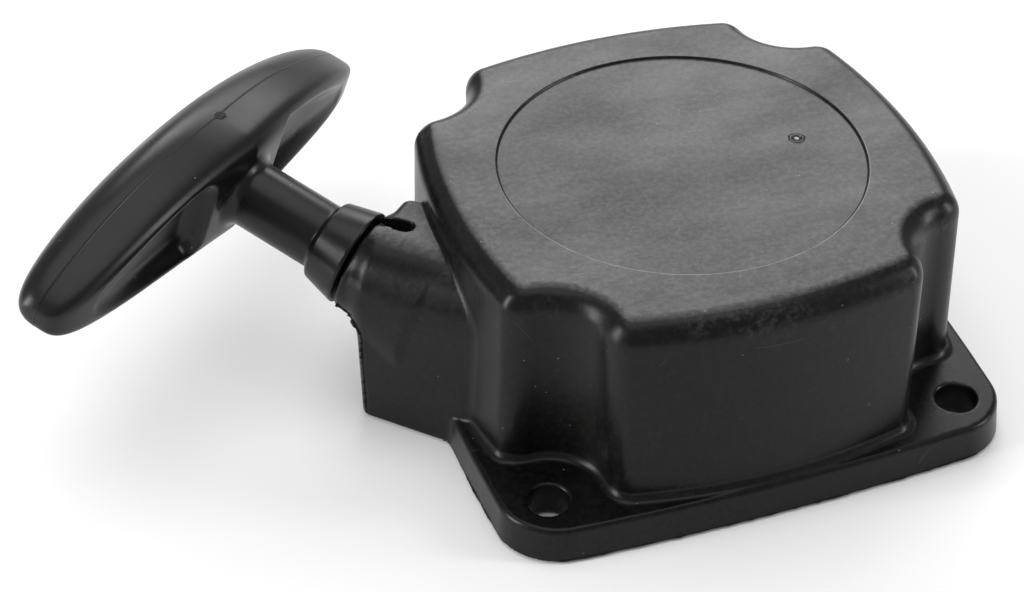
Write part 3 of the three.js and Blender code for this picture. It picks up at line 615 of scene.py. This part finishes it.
class Nodes:
    """A principled material whose sockets are fed by small node chains."""

    def __init__(self, name, **plain):
        self.material = bpy.data.materials.new(name)
        self.material.use_nodes = True
        self.tree = self.material.node_tree
        self.shader = self.tree.nodes["Principled BSDF"]
        for key, value in plain.items():
            self.shader.inputs[key.replace("_", " ")].default_value = value
        self.where = self.add("ShaderNodeTexCoord").outputs["Object"]

    def add(self, kind, **settings):
        node = self.tree.nodes.new(kind)
        for key, value in settings.items():
            setattr(node, key, value)
        return node

    def link(self, source, target):
        if isinstance(source, bpy.types.NodeSocket):
            self.tree.links.new(source, target)
        else:
            target.default_value = source

    def math(self, operation, a, b=0.0, clamp=False):
        node = self.add("ShaderNodeMath", operation=operation, use_clamp=clamp)
        self.link(a, node.inputs[0])
        self.link(b, node.inputs[1])
        return node.outputs[0]

    def noise(self, scale, detail=3.0, rough=0.55, stretch=None, seed=0.0):
        node = self.add("ShaderNodeTexNoise")
        node.inputs["Scale"].default_value = scale
        node.inputs["Detail"].default_value = detail
        node.inputs["Roughness"].default_value = rough
        mapping = self.add("ShaderNodeMapping")
        mapping.inputs["Scale"].default_value = stretch or (1, 1, 1)
        mapping.inputs["Location"].default_value = (seed, seed * 0.7, -seed)
        self.link(self.where, mapping.inputs["Vector"])
        self.link(mapping.outputs[0], node.inputs["Vector"])
        return node.outputs["Fac"]

    def spots(self, scale, size, seed=0.0):
        """1 on small round specks, 0 elsewhere."""
        node = self.add("ShaderNodeTexVoronoi")
        node.inputs["Scale"].default_value = scale
        mapping = self.add("ShaderNodeMapping")
        mapping.inputs["Location"].default_value = (seed, seed, seed)
        self.link(self.where, mapping.inputs["Vector"])
        self.link(mapping.outputs[0], node.inputs["Vector"])
        pick = self.add("ShaderNodeSeparateColor")
        self.link(node.outputs["Color"], pick.inputs[0])
        room = self.math("MULTIPLY", self.math("GREATER_THAN", pick.outputs[0], 0.9), size)
        return self.math("LESS_THAN", node.outputs["Distance"], room)

    def ramp(self, factor, stops):
        node = self.add("ShaderNodeValToRGB")
        self.link(factor, node.inputs[0])
        while len(node.color_ramp.elements) < len(stops):
            node.color_ramp.elements.new(0.5)
        for element, (at, colour) in zip(node.color_ramp.elements, stops):
            element.position = at
            c = colour if isinstance(colour, tuple) else (colour,) * 3
            element.color = (*c, 1)
        return node.outputs[0]

    def span(self, factor, low, high, start=0.3, stop=0.7):
        node = self.add("ShaderNodeMapRange")
        self.link(factor, node.inputs["Value"])
        for key, value in (("From Min", start), ("From Max", stop), ("To Min", low),
                           ("To Max", high)):
            node.inputs[key].default_value = value
        return node.outputs[0]

    def blend(self, factor, a, b):
        node = self.add("ShaderNodeMix", data_type="RGBA")
        self.link(factor, node.inputs[0])
        for value, socket in ((a, node.inputs[6]), (b, node.inputs[7])):
            self.link(value if isinstance(value, bpy.types.NodeSocket) else (*value, 1), socket)
        return node.outputs[2]

    def bump(self, height, strength, distance, under=None):
        node = self.add("ShaderNodeBump")
        node.inputs["Strength"].default_value = strength
        node.inputs["Distance"].default_value = distance
        self.link(height, node.inputs["Height"])
        if under is not None:
            self.link(under, node.inputs["Normal"])
        return node.outputs[0]

    def layer(self, name):
        return self.add("ShaderNodeAttribute", attribute_name=name).outputs["Fac"]

    def xyz(self):
        node = self.add("ShaderNodeSeparateXYZ")
        self.link(self.where, node.inputs[0])
        return node.outputs

    def done(self, colour=None, roughness=None, normal=None):
        for value, key in ((colour, "Base Color"), (roughness, "Roughness"), (normal, "Normal")):
            if value is not None:
                self.link(value, self.shader.inputs[key])
        return self.material


def facing_up(n):
    """1 on level surfaces that face up."""
    normal = n.add("ShaderNodeSeparateXYZ")
    n.link(n.add("ShaderNodeNewGeometry").outputs["Normal"], normal.inputs[0])
    return n.span(normal.outputs[2], 0.0, 1.0, 0.93, 0.995)


def housing_nylon():
    n = Nodes("black_nylon", IOR=1.5)
    top = n.math("MULTIPLY", facing_up(n), n.span(n.xyz()[2], 0.0, 1.0, 0.020, 0.030))
    n.link(n.span(top, 0.21, 0.5, 0.0, 1.0), n.shader.inputs["Specular IOR Level"])
    cloud = n.noise(55, 4, 0.6)
    grain = n.noise(1500, 3, 0.65)
    brushed = n.noise(330, 5, 0.75, (0.6, 1.9, 1), 3.0)
    smear = n.noise(30, 5, 0.62, (1, 2.2, 1), 7.0)
    # hair scratches: narrow bands where a stretched noise passes its middle value
    scratch = None
    for angle, seed in ((0.35, 11.0), (-1.1, 17.0)):
        line = n.noise(22, 2, 0.4, (0.25, 3.2, 1) if angle > 0 else (3.0, 0.3, 1), seed)
        off = n.math("ABSOLUTE", n.math("SUBTRACT", line, 0.52))
        here = n.math("LESS_THAN", off, 0.0007)
        rare = n.math("GREATER_THAN", n.noise(110, 1, 0.5, None, seed + 2), 0.62)
        here = n.math("MULTIPLY", here, rare)
        scratch = here if scratch is None else n.math("MAXIMUM", scratch, here)
    dust = n.spots(640, 0.085, 2.0)
    pits = n.spots(420, 0.1, 9.0)
    base = n.ramp(cloud, [(0.3, (0.0024, 0.0023, 0.0022)), (0.7, (0.0052, 0.0050, 0.0047))])
    # painted sheen: the roof's upward faces (the top mask) are painted a lighter, streaked grey, as
    # if lit from above and behind
    painted_sheen_grey = n.ramp(brushed, [(0.32, (0.020, 0.020, 0.020)), (0.68, (0.048, 0.048, 0.047))])
    colour = n.blend(n.math("MULTIPLY", top, 0.85), base, painted_sheen_grey)
    mottle = n.noise(1100, 4, 0.75, None, 13.0)
    strong = n.math("ADD", n.math("MULTIPLY", top, 0.75), 0.06)
    for tint, low, high in ((0.085, 0.46, 0.66), (0.003, 0.5, 0.30)):
        amount = n.math("MULTIPLY", n.span(mottle, 0.0, 0.9, low, high), strong)
        colour = n.blend(amount, colour, (tint, tint, tint))
    colour = n.blend(n.math("MULTIPLY", dust, n.math("MULTIPLY_ADD", top, 0.5)), colour,
                     (0.22, 0.21, 0.2))
    colour = n.blend(n.math("MULTIPLY", pits, 0.7), colour, (0.008, 0.008, 0.008))
    colour = n.blend(n.math("MULTIPLY", scratch, 0.13), colour, (0.12, 0.12, 0.12))
    # rubbed places under the roof's edge
    edge = n.math("MULTIPLY", n.span(n.xyz()[2], 0.0, 1.0, 0.027, 0.033), n.span(
        n.noise(95, 3, 0.6, None, 21.0), 0.0, 1.0, 0.52, 0.72))
    edge = n.math("MULTIPLY", edge, n.span(n.noise(900, 3, 0.7, None, 5.0), 0.0, 1.0, 0.45, 0.62))
    colour = n.blend(n.math("MULTIPLY", edge, 0.5), colour, (0.06, 0.06, 0.06))
    # the recess's rim: a painted highlight along its near side, where the edge would catch the
    # light
    away_from_middle = n.add("ShaderNodeVectorMath", operation="LENGTH")
    flat = n.add("ShaderNodeVectorMath", operation="MULTIPLY")
    n.link(n.where, flat.inputs[0])
    flat.inputs[1].default_value = (1, 1, 0)
    n.link(flat.outputs[0], away_from_middle.inputs[0])
    painted_rim_highlight = n.math("ABSOLUTE", n.math("SUBTRACT", away_from_middle.outputs["Value"], 0.02912))
    painted_rim_highlight = n.math("MULTIPLY", n.span(painted_rim_highlight, 1.0, 0.0, 0.0001, 0.0003), n.span(
        n.xyz()[1], 1.0, 0.0, -0.012, 0.006))
    painted_rim_highlight = n.math("MULTIPLY", painted_rim_highlight, n.math("MULTIPLY", top, n.span(
        n.noise(240, 3, 0.6, None, 31.0), 0.35, 1.0)))
    colour = n.blend(n.math("MULTIPLY", painted_rim_highlight, 0.6), colour, (0.42, 0.42, 0.41))
    rough = n.math("ADD", n.span(cloud, 0.19, 0.29), n.math("MULTIPLY", top, n.span(
        smear, -0.09, 0.10)))
    rough = n.math("ADD", rough, n.math("MULTIPLY", n.math("ADD", mottle, top), 0.13))
    height = n.math("ADD", grain, n.math("MULTIPLY", n.noise(420, 2, 0.5), 1.6))
    normal = n.bump(height, 0.09, 0.00014)
    streak = n.math("MULTIPLY", brushed, top)
    normal = n.bump(streak, 0.35, 0.00012, normal)
    normal = n.bump(n.math("MULTIPLY", pits, -1.0), 0.5, 0.00015, normal)
    normal = n.bump(n.math("MULTIPLY", scratch, -1.0), 0.3, 0.0001, normal)
    # the gate mark in the recess
    where = n.add("ShaderNodeVectorMath", operation="DISTANCE")
    n.link(n.where, where.inputs[0])
    where.inputs[1].default_value = (0.0194, -0.0007, 0.0372)
    away = n.math("ADD", where.outputs["Value"], n.math(
        "MULTIPLY", n.math("SUBTRACT", n.noise(900, 2, 0.6), 0.5), 0.0005))
    crater = n.math("SUBTRACT", n.span(away, 1.0, 0.0, 0.0011, 0.0014),
                    n.math("MULTIPLY", n.span(away, 1.0, 0.0, 0.0004, 0.0009), 1.3))
    normal = n.bump(crater, 1.0, 0.0006, normal)
    ring = n.math("MULTIPLY", n.span(away, 1.0, 0.0, 0.0009, 0.0012),
                  n.span(away, 0.0, 1.0, 0.0002, 0.0004))
    colour = n.blend(n.math("MULTIPLY", ring, 0.9), colour, (0.002, 0.002, 0.002))
    colour = n.blend(n.span(away, 1.0, 0.0, 0.0002, 0.00045), colour, (0.35, 0.35, 0.34))
    return n.done(colour, rough, normal)


def grip_nylon():
    n = Nodes("black_grip", Specular_IOR_Level=0.3, IOR=1.5)
    cloud = n.noise(70, 4, 0.6)
    grain = n.noise(1700, 3, 0.6)
    smear = n.noise(35, 5, 0.65, (1, 1.6, 1), 4.0)
    dust = n.spots(600, 0.08, 5.0)
    colour = n.ramp(cloud, [(0.3, (0.0030, 0.0029, 0.0028)), (0.7, (0.0066, 0.0063, 0.0060))])
    colour = n.blend(n.math("MULTIPLY", dust, 0.6), colour, (0.2, 0.19, 0.18))
    rough = n.math("ADD", n.span(smear, 0.22, 0.36), n.math("MULTIPLY", grain, 0.04))
    seam = n.math("ABSOLUTE", n.layer("seam"))
    line = n.span(seam, 1.0, 0.0, 0.03, 0.16)
    colour = n.blend(n.math("MULTIPLY", line, 0.7), colour, (0.006, 0.006, 0.006))
    normal = n.bump(n.math("ADD", grain, n.math("MULTIPLY", n.noise(300, 2), 1.4)), 0.09, 0.00012)
    normal = n.bump(line, 0.6, 0.0002, normal)
    # a clipped gate beside the parting line
    where = n.add("ShaderNodeVectorMath", operation="DISTANCE")
    n.link(n.where, where.inputs[0])
    where.inputs[1].default_value = tuple(GATE * MM)
    away = n.math("ADD", where.outputs["Value"], n.math(
        "MULTIPLY", n.math("SUBTRACT", n.noise(1300, 2, 0.7), 0.5), 0.0016))
    scar = n.span(away, 1.0, 0.0, 0.0004, 0.0010)
    normal = n.bump(n.math("MULTIPLY", scar, n.noise(1600, 2, 0.7, None, 6.0)), 0.9, 0.0006, normal)
    rough = n.math("ADD", rough, n.math("MULTIPLY", scar, -0.08))
    return n.done(colour, rough, normal)


def steel(name, dark, light, rough, scale=600):
    n = Nodes(name, Metallic=1.0)
    cloud = n.noise(90, 4, 0.6)
    fine = n.noise(scale, 3, 0.6, (1, 1, 0.25))
    colour = n.ramp(cloud, [(0.3, dark), (0.7, light)])
    colour = n.blend(n.math("MULTIPLY", n.spots(700, 0.2), 0.5), colour, (0.1, 0.09, 0.08))
    roughness = n.math("ADD", n.span(fine, rough - 0.06, rough + 0.08), n.math(
        "MULTIPLY", cloud, 0.1))
    return n.done(colour, roughness, n.bump(fine, 0.12, 0.0001))


def reel_nylon():
    n = Nodes("reel_nylon", Subsurface_Weight=0.15, Subsurface_Scale=0.003)
    cloud = n.noise(60, 4, 0.6)
    grease = n.span(n.noise(45, 5, 0.6, None, 8.0), 0.0, 1.0, 0.56, 0.7)
    colour = n.ramp(cloud, [(0.3, (0.56, 0.53, 0.44)), (0.7, (0.70, 0.67, 0.58))])
    colour = n.blend(n.math("MULTIPLY", grease, 0.45), colour, (0.33, 0.29, 0.2))
    rough = n.math("SUBTRACT", n.span(cloud, 0.42, 0.52), n.math("MULTIPLY", grease, 0.2))
    return n.done(colour, rough, n.bump(n.noise(1200, 3), 0.1, 0.0001))


def braided(name, straight):
    """Braided rope. A straight run takes its pattern from where it is; other pieces from layers."""
    n = Nodes(name, Roughness=0.85, Sheen_Weight=0.3)
    if straight:
        def dot(axis):
            node = n.add("ShaderNodeVectorMath", operation="DOT_PRODUCT")
            off = n.add("ShaderNodeVectorMath", operation="SUBTRACT")
            n.link(n.where, off.inputs[0])
            off.inputs[1].default_value = tuple(NOSE_END * MM)
            n.link(off.outputs[0], node.inputs[0])
            node.inputs[1].default_value = tuple(axis)
            return node.outputs["Value"]
        along = n.math("MULTIPLY", dot(PULL), 1000.0)
        around = n.math("ARCTAN2", dot(GRIP_V), dot(GRIP_X))
    else:
        along, around = n.layer("along"), n.layer("around")
    pitch = 2 * math.pi / 7.0
    waves = []
    for sign in (1.0, -1.0):
        phase = n.math("ADD", n.math("MULTIPLY", around, 4.0 * sign), n.math(
            "MULTIPLY", along, pitch * 2))
        waves.append(n.math("ABSOLUTE", n.math("SINE", phase)))
    weave = n.math("MAXIMUM", *waves)
    over = n.math("GREATER_THAN", *waves)
    fibre = n.noise(2600, 2, 0.6)
    # painted shade: the grooves between strands, where the weave is low, are painted darker
    tint = n.ramp(weave, [(0.72, (0.30, 0.28, 0.24)), (0.9, (0.74, 0.72, 0.66))])
    colour = n.blend(n.math("MULTIPLY", n.span(n.noise(140, 3), 0, 1, 0.5, 0.8), 0.35), tint,
                     (0.42, 0.39, 0.33))
    colour = n.blend(n.math("MULTIPLY", over, 0.12), colour, (0.9, 0.88, 0.82))
    normal = n.bump(weave, 0.9, 0.0005)
    normal = n.bump(fibre, 0.35, 0.00015, normal)
    return n.done(colour, None, normal)


def floor_paint():
    n = Nodes("floor", Roughness=0.9, Specular_IOR_Level=0.1)
    return n.done(n.ramp(n.noise(3, 2), [(0.3, 0.93), (0.7, 0.95)]))


# the gate scar sits on the parting line, at the middle of the grip's upper side
GATE = along_pull(38.2 - 0.49 * 16.6 - 0.3) + GRIP_V * 10.1 + GRIP_X * 0.3

nylon, grip_black = housing_nylon(), grip_nylon()
zinc = steel("zinc_steel", (0.52, 0.53, 0.55), (0.68, 0.69, 0.7), 0.3)
spring_steel = steel("spring_steel", (0.22, 0.25, 0.3), (0.38, 0.4, 0.43), 0.26, 900)
brass = steel("brass", (0.62, 0.46, 0.2), (0.78, 0.6, 0.3), 0.3)
cream = reel_nylon()
rope_straight, rope_wound = braided("rope_straight", True), braided("rope_wound", False)

# ---- pieces ----------------------------------------------------------------------------------

shell = moulded("housing_shell", housing, (-56.5, -44.5, -1.2), (44.5, 48.5, 39.0), 0.42, 0.4,
                patch=label_patch)
place(shell, nylon, "housing", ["starter_housing"])


# the moulding's flash, down the nose's side and the block's corner
side, front = 0.634 * GRIP_X + 0.763 * GRIP_V, -0.763 * GRIP_X + 0.634 * GRIP_V
outward = 0.34 * front - 0.94 * side
seam_line = [along_pull(d) + outward * (NOSE_R + 0.25) for d in (-0.7, -2.5, -4.5)]
corner = BLOCK_U * (BLOCK_END - 0.66 * BLOCK_CORNER_R) + BLOCK_N * (
    BLOCK_NEAR - 0.06 * BLOCK_CORNER_R)
seam_line += [corner + UP * z for z in (17, 14, 11, 7, 4, 0.4)]
place(ridge("corner_flash", smooth_path(seam_line, 24), 1.5, 0.16, 0.55, 5), nylon, "housing",
      None)
# and around the flange's lower edge
edge_line = []
for a in np.linspace(0, 360, 900, endpoint=False):
    p = direction(a)
    edge_line.append(p * (FLANGE_HALF + 0.4) / np.linalg.norm(p[:2], 6) + UP * 0.3)
place(ridge("flange_flash", np.array(edge_line), 1.5, 0.02, 0.24, 8, True), nylon, "housing",
      None)

corners = np.array([along_pull(d) + GRIP_X * w + GRIP_V * v
                    for d in (-1, 40) for w in (-45, 45) for v in (-15, 13)])
handle = moulded("handle_shell", grip, corners.min(0) - 1, corners.max(0) + 1, 0.42, 0.8)
number_layer(handle, "seam", parting(*points_of(handle).T))
place(handle, grip_black, "handle", ["handle_grip"])

place(moulded("reel_shell", reel, (-33.5, -33.5, 12), (33.5, 33.5, 34.5), 0.5, 0.35), cream,
      "reel", ["rope_pulley"])
for i in (0, 1):
    turn, name = math.pi * i, f"{i + 1}"
    place(moulded(f"pawl_body_{name}", pawl, (10, -14, 8.5), (20, 5, 13.3), 0.22, 0.5, turn), zinc,
          f"pawl_{name}", [f"pawl_{name}"])
    place(moulded(f"pin_body_{name}", pin, (12, -3, 5), (18, 3, 16.8), 0.18, 0.5, turn), zinc,
          "reel", [f"pawl_pin_{name}"])
    line = [(PAWL_AT + TORSION_R + 2.6, -5.5, 8.5)]
    line += [(PAWL_AT + TORSION_R * math.cos(a), TORSION_R * math.sin(a),
              8.5 - 1.7 * a / (6 * math.pi)) for a in np.linspace(0, 6 * math.pi, 73)]
    line += [(PAWL_AT + 2.4, 5, 6.7)]
    line = np.array(line) * ([1, 1, 1] if i == 0 else [-1, -1, 1])
    place(swept(f"torsion_spring_{name}", line, circle(0.3, 10)), spring_steel, "reel",
          [f"pawl_spring_{name}"])
place(moulded("plate_body", plate, (-11, -11, 6.9), (11, 11, 9.2), 0.22, 0.4), zinc, "housing",
      ["guide_plate"])
place(moulded("washer_body", washer, (-7.2, -7.2, 5.6), (7.2, 7.2, 7.6), 0.2, 0.4), zinc,
      "housing", ["centre_washer"])
place(moulded("screw_body", screw, (-5.2, -5.2, 2), (5.2, 5.2, 22.2), 0.18, 0.5), zinc,
      "housing", ["centre_screw"])
ends = np.array([along_pull(-10.2), along_pull(0)])
place(moulded("guide_body", guide, ends.min(0) - 5.6, ends.max(0) + 5.6, 0.28, 0.5), zinc,
      "housing", ["rope_guide"])
coil = [(BRAKE_R * math.cos(a), BRAKE_R * math.sin(a), mix(
    BRAKE_LOW, BRAKE_TOP, a / (5 * math.pi))) for a in np.linspace(0, 5 * math.pi, 110)]
place(swept("brake_coil", coil, circle(0.4, 12)), spring_steel, "housing", ["brake_spring"])

# rope: two layers of turns on the reel, the run to the handle, and the two knots
wound = []
for rise, radius in zip((TURN_RISE, -TURN_RISE), TURN_RADII):
    for a in np.linspace(0, 4 * math.pi, 260):
        row = 0.5 - 0.5 * math.cos(math.pi * min(max((a / math.pi - 1.7) / 0.6, 0), 1))
        z = ROPE_Z + rise * (1 - 2 * row)
        wound.append((radius * math.cos(a + 3.49), radius * math.sin(a + 3.49), z))
place(swept("rope_turns", wound, circle(1.46, 14)), rope_wound, "reel", ["rope_winding"])

leaves = math.sqrt(32.4**2 - ROPE_LINE**2)
start = BLOCK_U * leaves + BLOCK_N * ROPE_LINE + UP * ROPE_Z
route = smooth_path([start, (start + along_pull(-11.6)) / 2, along_pull(-11.6), along_pull(-7.6),
                     along_pull(-2)], 12)[:-1]
route = np.vstack([route, [along_pull(d) for d in np.linspace(-2, 25.8, 90)]])
run = swept("rope_line", route, circle(ROPE_R, 20))
line = place(run, rope_straight, None, ["rope_run"])
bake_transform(line)


def knot(name, centre, axes, size, thick):
    """An overhand knot: a trefoil of rope, pressed tight."""
    a = np.linspace(0, 2 * math.pi, 120)
    x, y = np.sin(a) + 2 * np.sin(2 * a), np.cos(a) - 2 * np.cos(2 * a)
    z = -np.sin(3 * a)
    local = np.stack([x * size / 3, y * size / 3, z * size * 0.75], 1)[:-4]
    return swept(name, centre + local @ np.array(axes), circle(thick, 12))


place(knot("grip_knot", along_pull(KNOT_Y + 0.2), [GRIP_X, GRIP_V, PULL], 1.35, 1.1), rope_wound,
      "handle", ["handle_knot"])
out = direction(200)
place(knot("inner_knot", out * 18.4 + UP * ROPE_Z, [np.cross(UP, out), UP, out], 1.1, 0.95),
      rope_wound, "reel", ["reel_knot"])

for node, material in (("spring_case", zinc), ("spring_cover", zinc), ("thread_insert", brass),
                       ("recoil_spring", spring_steel)):
    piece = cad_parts[node]
    piece.data.materials.clear()
    piece.data.materials.append(material)

# ---- floor, light and camera -----------------------------------------------------------------

bpy.ops.mesh.primitive_grid_add(x_subdivisions=8, y_subdivisions=8, size=8)
ground = bpy.context.object
ground.name = "floor"
ground.location.z = -0.0004
ground.data.materials.append(floor_paint())


def softbox(name, towards, distance, width, height, radiance, aim=(0, 0, 0.02)):
    towards = Vector(towards).normalized()
    light = bpy.data.lights.new(name, "AREA")
    light.shape = "RECTANGLE"
    light.size, light.size_y = width, height
    light.energy = radiance * math.pi * width * height
    lamp = bpy.data.objects.new(name, light)
    lamp.location = Vector(aim) + towards * distance
    lamp.rotation_euler = towards.to_track_quat("Z", "Y").to_euler()
    bpy.context.scene.collection.objects.link(lamp)


softbox("back_light", (0.28, 0.80, 0.54), 1.3, 1.1, 0.5, 4.2)
softbox("top_light", (0.0, 0.1, 1.0), 1.5, 1.3, 1.3, 1.6)
softbox("left_light", (-1.0, 0.05, 0.34), 1.2, 0.3, 0.9, 13.0)
softbox("right_light", (1.0, -0.45, 0.40), 1.3, 0.2, 0.8, 12.0)

world = bpy.data.worlds.new("studio")
bpy.context.scene.world = world
world.use_nodes = True
sky = world.node_tree.nodes["Background"]
sky.inputs["Color"].default_value = (1, 1, 1, 1)
sky.inputs["Strength"].default_value = 0.38

camera = bpy.data.cameras.new("camera")
camera.lens, camera.sensor_width = 72.47, 36
camera.shift_x, camera.shift_y = -0.0479, -0.0219
eye = bpy.data.objects.new("camera", camera)
aim, distance = Vector((-0.017227, 0.007929, 0.0129)), 0.33901
azimuth, elevation = math.radians(-19.4425), math.radians(38.7694)
back = Vector((math.sin(azimuth) * math.cos(elevation), -math.cos(azimuth) * math.cos(elevation),
               math.sin(elevation)))
right = Vector((math.cos(azimuth), math.sin(azimuth), 0))
turn = Matrix((right, back.cross(right), back)).transposed()
eye.matrix_world = Matrix.Translation(aim + back * distance) @ turn.to_4x4()
camera.clip_start = 0.01
bpy.context.scene.collection.objects.link(eye)
bpy.context.scene.camera = eye
bpy.context.scene.view_settings.view_transform = "Standard"
